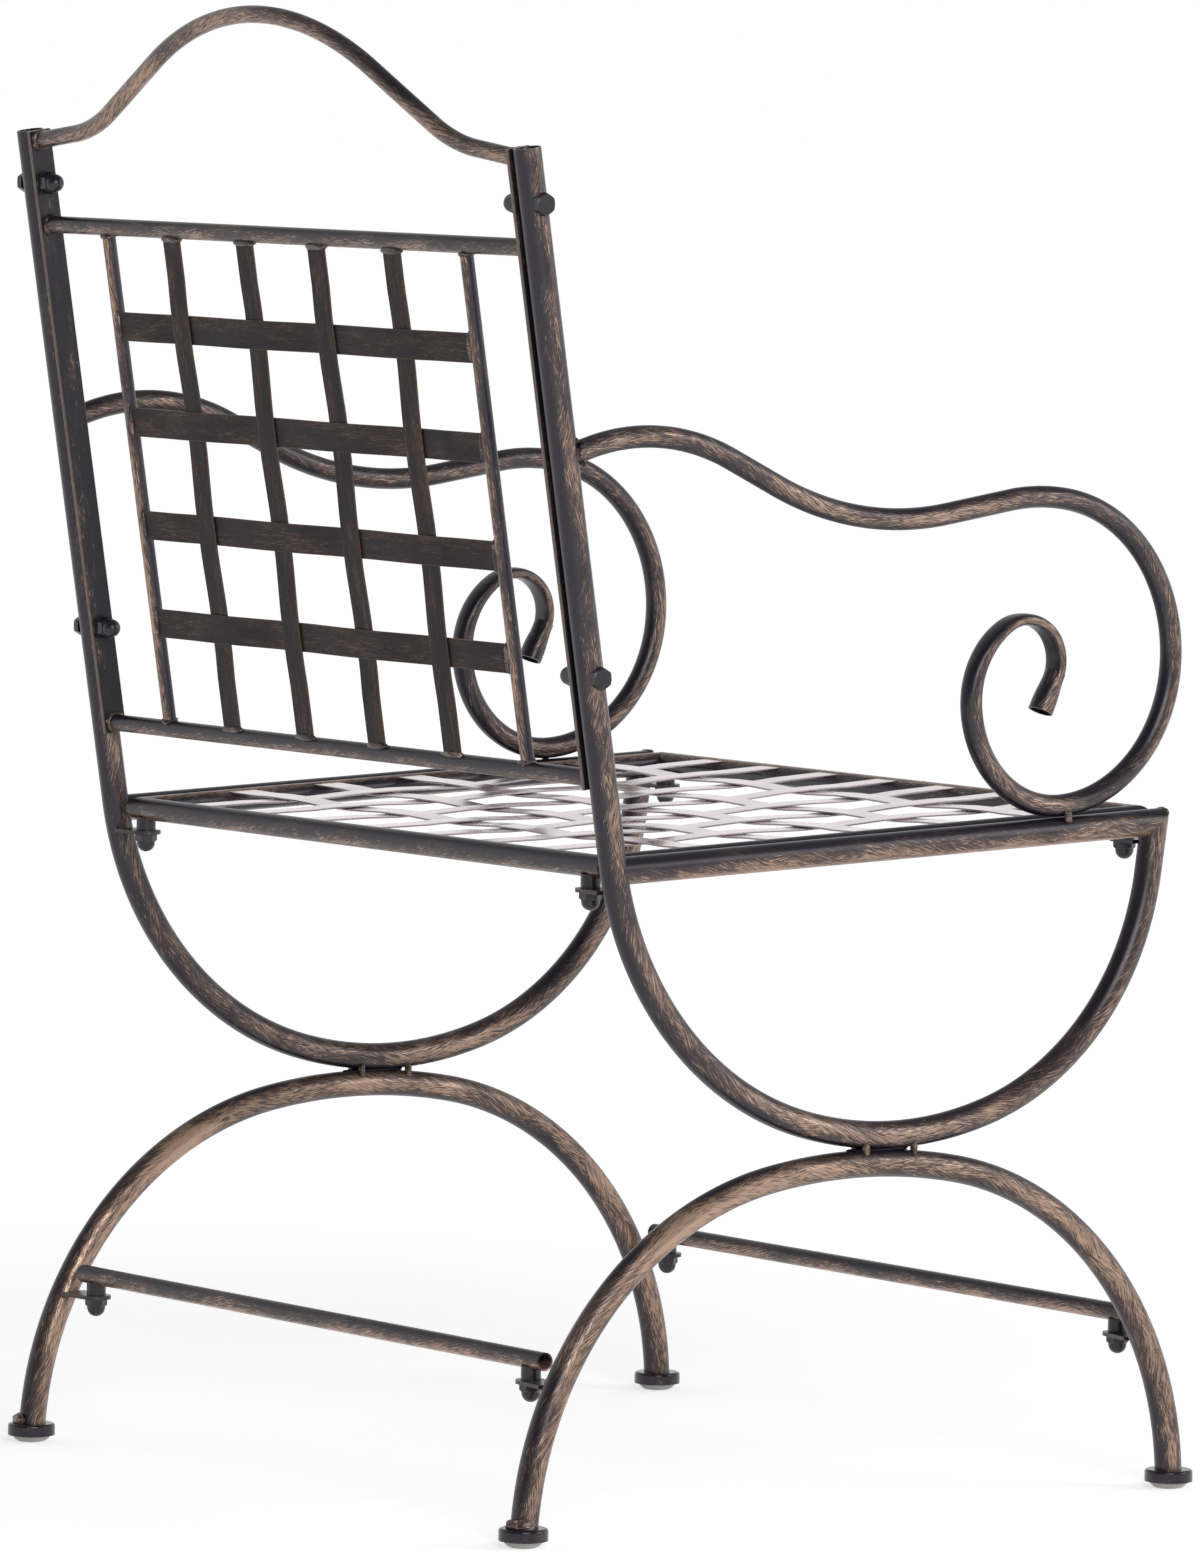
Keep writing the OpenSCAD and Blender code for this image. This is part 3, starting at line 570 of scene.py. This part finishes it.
# Seat rails: 15 mm tube, mitred and welded into a frame that slopes up 2.15 degrees to the
# front. The seat is laid out in x, v forwards from the rear rail, and h above the rails' middle.
SEAT_RISE = math.radians(2.15)
SEAT_R = 7.5
SEAT_SIDES = 36
SEAT_X = 265.5
SEAT_DEPTH = 437.0
SEAT_REAR = Vector((0, 192.5, 429.3))
FORWARD = Vector((0, -math.cos(SEAT_RISE), math.sin(SEAT_RISE)))
SEAT_UP = Vector((0, math.sin(SEAT_RISE), math.cos(SEAT_RISE)))


def seat_point(x, v, h=0.0):
    return SEAT_REAR + ACROSS * x + FORWARD * v + SEAT_UP * h


def seat_mitre(side, v):
    """The plane that cuts the rails at the corner on that side, at the rear or the front."""
    way = (ACROSS * side + FORWARD * (1 if v else -1)).normalized()
    return seat_point(side * SEAT_X, v), way.cross(SEAT_UP).normalized()


def upper_edge(a, b):
    """More bronze towards the top of the rail; the rest stays mostly dark."""
    return 0.15 + 1.4 * max(0.0, a) ** 2


# The rear and right rails have bronze below, a painted light from beneath with a painted shade on top; the
# front and left rails have bronze along the top.
for name, v, seed, brush_and_light in (("seat_rear_rail", 0.0, 51, painted_light_underside),
                             ("seat_front_rail", SEAT_DEPTH, 53, upper_edge)):
    rings = straight(seat_point(-SEAT_X, v), seat_point(SEAT_X, v), SEAT_UP, FORWARD)
    rail = sweep(name + "_look", rings, round_section(SEAT_R, SEAT_SIDES), seed, cut_first=seat_mitre(-1, v),
                 cut_last=seat_mitre(1, v), brush_and_light=brush_and_light)
    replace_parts(rail, name)
for (side, tag), brush_and_light in zip(SIDES, (upper_edge, painted_light_underside)):
    rings = straight(seat_point(side * SEAT_X, 0), seat_point(side * SEAT_X, SEAT_DEPTH), SEAT_UP, -ACROSS)
    rail = sweep("seat_side_look_" + tag, rings, round_section(SEAT_R, SEAT_SIDES), seed=55 + side,
                 cut_first=seat_mitre(side, 0), cut_last=seat_mitre(side, SEAT_DEPTH), brush_and_light=brush_and_light)
    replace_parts(rail, "seat_%s_rail" % tag)


# Seat straps: the same 19.5 x 1.2 mm strip, woven in a shallow dish and welded on top of the
# seat rails. Its coating is smoother and glossier than that of the back.
LATTICE_H = 6.0
DISH_DEPTH = 3.0
LONG_PITCH, CROSS_PITCH = 66.25, 70
CROSS_OFFSET = 0.9
STRAP_INSET = 3.0
LONG_RINGS, SEAT_CROSS_RINGS = 150, 180
long_x = [LONG_PITCH * k for k in (3, 2, 1, 0, -1, -2, -3)]
cross_v = [SEAT_DEPTH / 2 + CROSS_OFFSET + CROSS_PITCH * k for k in (-2, -1, 0, 1, 2)]
seat_finish = finish("seat_strap", -0.4, base=(0.11, 0.09, 0.094, 1.0), wash=(0.05, 0.034, 0.028, 1.0),
                     gold=(0.12, 0.06, 0.045, 1.0), slant=0.0, roughness=0.2, bump=0.0, specular=1.0)
gloss = seat_finish.node_tree.nodes["Principled BSDF"].inputs
gloss["Coat Weight"].default_value = 1.0
gloss["Coat Tint"].default_value = (1.0, 0.8, 0.84, 1.0)
gloss["Coat Roughness"].default_value = 0.12
gloss["Coat IOR"].default_value = 2.2


def lattice_h(x, v, lift):
    """Height of a strap above the rails' middle: the dish is deepest in the seat's middle."""
    return LATTICE_H + lift - DISH_DEPTH * (1 - (x / SEAT_X) ** 2) * (1 - (2 * v / SEAT_DEPTH - 1) ** 2)


for k, x in enumerate(long_x):
    rings = [(seat_point(x, v, lattice_h(x, v, weave(v, cross_v, -over(k)))), SEAT_UP, -ACROSS, v)
             for v in spread(STRAP_INSET, SEAT_DEPTH - STRAP_INSET, LONG_RINGS)]
    strap = sweep("seat_long_look_%d" % (k + 1), rings, strap_section, seed=61 + 2 * k,
                  material=seat_finish)
    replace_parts(strap, "seat_long_%d" % (k + 1))
for k, v in enumerate(cross_v):
    rings = [(seat_point(x, v, lattice_h(x, v, weave(x, long_x[::-1], over(k)))), SEAT_UP, FORWARD, x)
             for x in spread(STRAP_INSET - SEAT_X, SEAT_X - STRAP_INSET, SEAT_CROSS_RINGS)]
    strap = sweep("seat_cross_look_%d" % (k + 1), rings, strap_section, seed=77 + 2 * k,
                  material=seat_finish)
    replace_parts(strap, "seat_cross_%d" % (k + 1))


# Weld beads of the backrest: lumpy steel beads where straps, rods and rails are welded on, with
# gold on their ridges. They only dress joints that touch, so each kind is one mesh of beads.
BEAD_ROWS, BEAD_COLUMNS = 8, 16
BEAD_BRUSHED = 0.6
BLUNTNESS = 0.6
LUMPS_PER_MM = 0.42
RIDGE_WEAR = 1.6
SWELL_STEP, STROKE_STEP = 7.3, 0.31
UPRIGHT_BEAD = (11.2, 2.7, 3.2)
UPRIGHT_BEAD_OFF, UPRIGHT_BEAD_N = 5.6, 2.6
CROSS_BEAD = (10.5, 2.0, 2.7)
CROSS_BEAD_X, CROSS_BEAD_N = 203.0, 2.4
ROD_BEAD = (5.4, 5.4, 2.4)
ROD_BEAD_OFF = 5.8
RAIL_BEAD = (7.0, 7.0, 2.4)
CREST_BEAD = (7.0, 7.2, 2.6)
CREST_END_S = 436.3
BEAD_X = 274.6
bead_finish = finish("weld_bead", 0.6, edge=1.0)


def bead(centre, size, long_way, wide_way, high_way):
    """A bead's centre and its three half axes, the first the long one."""
    return centre, long_way * size[0], wide_way * size[1], high_way * size[2]


def bead_point(row, column, long_axis, wide_axis, high_axis):
    """A place on a blunt-ended bead, from its centre."""
    polar, turn = math.pi * row / BEAD_ROWS, math.tau * column / BEAD_COLUMNS
    reach = math.copysign(abs(math.cos(polar)) ** BLUNTNESS, math.cos(polar))
    width = math.sin(polar)
    return long_axis * reach + wide_axis * (width * math.cos(turn)) + high_axis * (width * math.sin(turn))


def lumps(name, beads, material, rough=0.18):
    """One mesh of lumpy beads; rough is how far their surface swells and sinks."""
    points, faces, lays, worns = [], [], [], []
    for index, (centre, *axes) in enumerate(beads):
        first = len(points)
        last = first + 1 + (BEAD_ROWS - 1) * BEAD_COLUMNS
        for row in range(BEAD_ROWS + 1):
            for column in range(BEAD_COLUMNS if 0 < row < BEAD_ROWS else 1):
                at = bead_point(row, column, *axes)
                swell = noise.noise(at * LUMPS_PER_MM + ACROSS * (index * SWELL_STEP))
                points.append(centre + at * (1 + rough * swell))
                lays.append(tuple(at / MM_PER_METRE + ACROSS * (index * STROKE_STEP)))
                worns.append(min(1.0, max(0.0, swell * RIDGE_WEAR)))
        for row in range(BEAD_ROWS):
            upper_row = first + 1 + (row - 1) * BEAD_COLUMNS
            lower_row = upper_row + BEAD_COLUMNS
            for column in range(BEAD_COLUMNS):
                after = (column + 1) % BEAD_COLUMNS
                upper = (upper_row + column, upper_row + after) if row else (first,)
                lower = (lower_row + after, lower_row + column) if row < BEAD_ROWS - 1 else (last,)
                faces.append(upper + lower)
    return mesh_piece(name, points, faces, lays, worns, [BEAD_BRUSHED] * len(points), material)


strap_beads, rail_beads = [], []
for x in UPRIGHTS:
    for s in (TOP_RAIL_S - UPRIGHT_BEAD_OFF, BOTTOM_RAIL_S + UPRIGHT_BEAD_OFF):
        strap_beads.append(bead(back_point(x, s, UPRIGHT_BEAD_N), UPRIGHT_BEAD, ACROSS, UP_BACK, REAR))
for s in CROSSINGS:
    for side, tag in SIDES:
        at = back_point(side * CROSS_BEAD_X, s, CROSS_BEAD_N)
        strap_beads.append(bead(at, CROSS_BEAD, UP_BACK, ACROSS, REAR))
lumps("strap_welds", strap_beads, bead_finish)
for side, tag in SIDES:
    for s, inward in ((TOP_RAIL_S, -ROD_BEAD_OFF), (BOTTOM_RAIL_S, ROD_BEAD_OFF)):
        rail_beads.append(bead(back_point(side * ROD_X, s + inward), ROD_BEAD, REAR, ACROSS, UP_BACK))
        rail_beads.append(bead(back_point(side * BEAD_X, s), RAIL_BEAD, REAR, UP_BACK, ACROSS))
    rail_beads.append(bead(back_point(side * BEAD_X, CREST_END_S), CREST_BEAD, REAR, UP_BACK, ACROSS))
lumps("rail_welds", rail_beads, bead_finish)


# Weld beads of the side frames: a ring of beads round each arm's root, one on each front corner
# and two at each rear foot. Bright tacks join the bent tubes. Dark filler lumps sit in the pit at each arm's
# root and in the gap between the tubes at the apex, where the lump is partly a painted shade between the
# tubes.
BACKWARD = Vector((0, 1, 0))
UPWARD = Vector((0, 0, 1))
ARM_ROOT = Vector((0, 231.4, 694.8))
ARM_ROOT_RING = Matrix.Diagonal((7.3, 1.2, 7.6))
ARM_ROOT_BEAD = (3.4, 2.4, 2.2)
ARM_ROOT_PIT = Vector((7.2, 231.6, 699.2))
PIT_BEAD = (2.4, 2.6, 2.2)
CORNER_TOP = Vector((0, -248.6, 450.4))
CORNER_BEAD = (6.4, 3.0, 3.0)
REAR_FOOT_Y = 261.2
FOOT_BEAD_RISE = 2.0
FOOT_BEAD = (6.2, 3.4, 4.4)
FOOT_BEAD_R = 9.8
FOOT_BEAD_TURNS = (10, 55)
APEX = Vector((0, -16.0, 239.1))
APEX_SHADE_FILLER = (25.0, 5.0, 1.5)
APEX_TACKS = (Vector((0, -2.6, 239.8)), Vector((0, -41.8, 238.4)))
APEX_TACK = (4.9, 2.1, 3.3)
APEX_TACK_OUT = 5.9
ARM_TACK_PLACE = Vector((0, -164.6, 449.9))
ARM_TACK = (4.2, 2.5, 2.8)
ARM_TACK_OUT = 6.6
cup_top = MM_PER_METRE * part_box("foot_cups")[1][2]
frame_beads, fillers_and_shade, tacks = [], [], []
for side, tag in SIDES:
    middle = ACROSS * (side * SIDE_X)
    for turn in range(0, 360, 45):
        c, sn = math.cos(math.radians(turn)), math.sin(math.radians(turn))
        at = middle + ARM_ROOT + ARM_ROOT_RING @ Vector((c, sn, sn))
        frame_beads.append(bead(at, ARM_ROOT_BEAD, Vector((sn, 0, c)), BACKWARD, Vector((c, 0, sn))))
    frame_beads.append(bead(middle + CORNER_TOP, CORNER_BEAD, ACROSS, BACKWARD, UPWARD))
    # A dark lump closing the gap between the tubes: partly a painted shade where the tubes shade each other.
    fillers_and_shade.append(bead(middle + APEX, APEX_SHADE_FILLER, BACKWARD, ACROSS, UPWARD))
    for face in (1, -1):
        for place in APEX_TACKS:
            at = middle + place + ACROSS * (face * APEX_TACK_OUT)
            tacks.append(bead(at, APEX_TACK, UPWARD, BACKWARD, ACROSS))
    at = middle + ARM_TACK_PLACE + ACROSS * (side * ARM_TACK_OUT)
    tacks.append(bead(at, ARM_TACK, UPWARD, BACKWARD, ACROSS))
    for turn in FOOT_BEAD_TURNS:
        c, sn = math.cos(math.radians(turn)), math.sin(math.radians(turn)) * side
        outward, around = Vector((sn, c, 0)), Vector((c, -sn, 0))
        at = middle + Vector((0, REAR_FOOT_Y, cup_top + FOOT_BEAD_RISE)) + outward * FOOT_BEAD_R
        frame_beads.append(bead(at, FOOT_BEAD, around, outward, UPWARD))
for side, tag in SIDES:
    at = Vector((side * (SIDE_X + ARM_ROOT_PIT.x), ARM_ROOT_PIT.y, ARM_ROOT_PIT.z))
    fillers_and_shade.append(bead(at, PIT_BEAD, ACROSS, BACKWARD, UPWARD))
lumps("frame_welds", frame_beads, bead_finish, rough=0.3)
lumps("apex_welds", fillers_and_shade, finish("dark_weld_and_shade", -0.3), rough=0.1)
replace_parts(lumps("tacks_look", tacks, finish("bright_weld", 0.75, edge=0.8), rough=0.25), "weld_tacks")


# Stretchers: straight 12 mm tubes with open ends, bolted across the rear and front legs.
STRETCHER_R = 6
STRETCHER_SIDES = 32
STRETCHER_HALF = 268.5
STRETCHER_Z = 114.4
STRETCHER_BORE = 25
# Their undersides carry more bronze as a painted light from below, with a painted shade on top.
for name, y, seed in (("rear_stretcher", 233, 89), ("front_stretcher", -245.5, 91)):
    rings = straight(Vector((-STRETCHER_HALF, y, STRETCHER_Z)), Vector((STRETCHER_HALF, y, STRETCHER_Z)),
                     UPWARD, -BACKWARD)
    tube = sweep(name + "_look", rings, round_section(STRETCHER_R, STRETCHER_SIDES), seed,
                 material=frame_finish, open_first=STRETCHER_BORE, open_last=STRETCHER_BORE, brush_and_light=painted_light_underside)
    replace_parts(tube, name)


# Hardware: bolts, nuts, washers, bosses and studs have the plain dark coating, and the welded
# tabs and the pressed foot cups are brushed a little. The glides are pale moulded plastic.
PLAIN_HARDWARE = ("spacer_bosses", "joint_studs", "joint_cap_nuts", "back_bolts", "back_washers",
                  "back_cap_nuts")


def coat(name, material):
    nodes[name].data.materials.clear()
    nodes[name].data.materials.append(material)


plain_finish = finish("plain_coat", 0.0, base=(0.015, 0.0145, 0.018, 1.0), on_lay=False)
for name in PLAIN_HARDWARE:
    coat(name, plain_finish)
tab_finish = finish("tab_coat", 0.35, on_lay=False)
for name in nodes:
    if "_tab_" in name:
        coat(name, tab_finish)
coat("foot_cups", finish("cup_coat", 0.2, roughness=0.2, on_lay=False))
plastic = bpy.data.materials.new("glide_plastic")
plastic.use_nodes = True
tree = plastic.node_tree
grain = add(tree, "ShaderNodeTexNoise", [("Scale", 160.0), ("Detail", 3.0)]).outputs[0]
mottle = ramp(tree, grain, 0.4, 0.6)
tint = mix_colours(tree, mottle, (0.6, 0.59, 0.57, 1.0), (0.72, 0.71, 0.69, 1.0))
tree.links.new(tint, tree.nodes["Principled BSDF"].inputs["Base Color"])
tree.nodes["Principled BSDF"].inputs["Roughness"].default_value = 0.5
coat("foot_glides", plastic)


# Floor: a plain pale floor. What the lamps leave short of white is lifted for the eye and for
# mirrors only, and least near the chair, where the floor keeps its shadow.
FLOOR_REACH = 40
FLOOR_PALE = (0.86, 0.86, 0.86, 1.0)
WHITE = (1.0, 1.0, 1.0, 1.0)
LIFT_NEAR, LIFT_FAR = 0.565, 0.74
NEAR, FAR = 0.45, 2.4
floor_mesh = bpy.data.meshes.new("floor")
floor_mesh.from_pydata([(-FLOOR_REACH, -FLOOR_REACH, 0), (FLOOR_REACH, -FLOOR_REACH, 0),
                        (FLOOR_REACH, FLOOR_REACH, 0), (-FLOOR_REACH, FLOOR_REACH, 0)], [], [(0, 1, 2, 3)])
floor = bpy.data.objects.new("floor", floor_mesh)
bpy.context.collection.objects.link(floor)
floor_paint = bpy.data.materials.new("floor_white")
floor_paint.use_nodes = True
tree = floor_paint.node_tree
tree.nodes.clear()
path = add(tree, "ShaderNodeLightPath")
seen = maths(tree, "MAXIMUM", path.outputs["Is Camera Ray"], path.outputs["Is Glossy Ray"])
seen = maths(tree, "MAXIMUM", seen, path.outputs["Is Transmission Ray"])
place = add(tree, "ShaderNodeTexCoord").outputs["Object"]
away = add(tree, "ShaderNodeVectorMath", [(0, place)], operation="LENGTH").outputs["Value"]
lift = maths(tree, "MULTIPLY", seen, ramp(tree, away, NEAR, FAR, LIFT_NEAR, LIFT_FAR))
diffuse = add(tree, "ShaderNodeBsdfDiffuse", [("Color", FLOOR_PALE)])
glow = add(tree, "ShaderNodeEmission", [("Color", WHITE), ("Strength", lift)])
both = add(tree, "ShaderNodeAddShader", [(0, diffuse.outputs[0]), (1, glow.outputs[0])])
add(tree, "ShaderNodeOutputMaterial", [("Surface", both.outputs[0])])
floor_mesh.materials.append(floor_paint)


# Backdrop and lamps: a white studio wall, which dims overhead and towards the camera's side, and
# two large soft lamps on the right.
CAMERA_SIDE = (-0.81, 0.585, 0.0)
DIM_OVERHEAD = (0.16, 0.75, 1.0, 0.3)
DIM_CAMERA_SIDE = (-0.3, 0.75, 1.0, 0.22)
world = bpy.data.worlds.new("studio")
bpy.context.scene.world = world
world.use_nodes = True
tree = world.node_tree
tree.nodes.clear()
ray = add(tree, "ShaderNodeTexCoord").outputs["Generated"]
overhead = add(tree, "ShaderNodeSeparateXYZ", [(0, ray)]).outputs[2]
nearness = add(tree, "ShaderNodeVectorMath", [(0, ray), (1, CAMERA_SIDE)],
               operation="DOT_PRODUCT").outputs["Value"]
wall = maths(tree, "MULTIPLY", ramp(tree, overhead, *DIM_OVERHEAD), ramp(tree, nearness, *DIM_CAMERA_SIDE))
light = add(tree, "ShaderNodeBackground", [("Color", WHITE), ("Strength", wall)])
add(tree, "ShaderNodeOutputWorld", [("Surface", light.outputs[0])])


def lamp(name, place, aim, size, energy):
    data = bpy.data.lights.new(name, "AREA")
    data.shape, data.size, data.energy = "DISK", size, energy
    made = bpy.data.objects.new(name, data)
    made.location = place
    made.rotation_euler = (Vector(aim) - Vector(place)).to_track_quat("-Z", "Y").to_euler()
    bpy.context.collection.objects.link(made)


lamp("key", place=(-3.4, 1.4, 1.9), aim=(0, 0, 0.4), size=2.2, energy=62)
lamp("fill", place=(-2.6, -2.6, 1.8), aim=(0, 0, 0.5), size=2.0, energy=28)


# Camera: a long lens about 7 m away at the rear right, a little above the top of the backrest,
# with the angle, distance and frame that were fitted to the chair's own joints.
AZIMUTH, ELEVATION, ROLL = math.radians(234.10), math.radians(4.294), math.radians(0.704)
CAMERA_PLACE = (-5.82115, 4.21493 + PART_SHIFT_Y, 1.00221)
SENSOR_WIDTH, LENS = 36.0, 250.51
CLIP = (0.1, 200.0)
towards = Vector((math.sin(AZIMUTH) * math.cos(ELEVATION), -math.cos(AZIMUTH) * math.cos(ELEVATION),
                  math.sin(ELEVATION)))
level_right = Vector((math.cos(AZIMUTH), math.sin(AZIMUTH), 0))
level_up = towards.cross(level_right)
right = level_right * math.cos(ROLL) + level_up * math.sin(ROLL)
up = level_up * math.cos(ROLL) - level_right * math.sin(ROLL)
camera = bpy.data.objects.new("camera", bpy.data.cameras.new("camera"))
camera.data.sensor_width, camera.data.lens = SENSOR_WIDTH, LENS
camera.data.clip_start, camera.data.clip_end = CLIP
camera.matrix_world = Matrix((right, up, towards)).transposed().to_4x4()
camera.location = CAMERA_PLACE
bpy.context.collection.objects.link(camera)
bpy.context.scene.camera = camera
bpy.context.scene.view_settings.view_transform = "Standard"
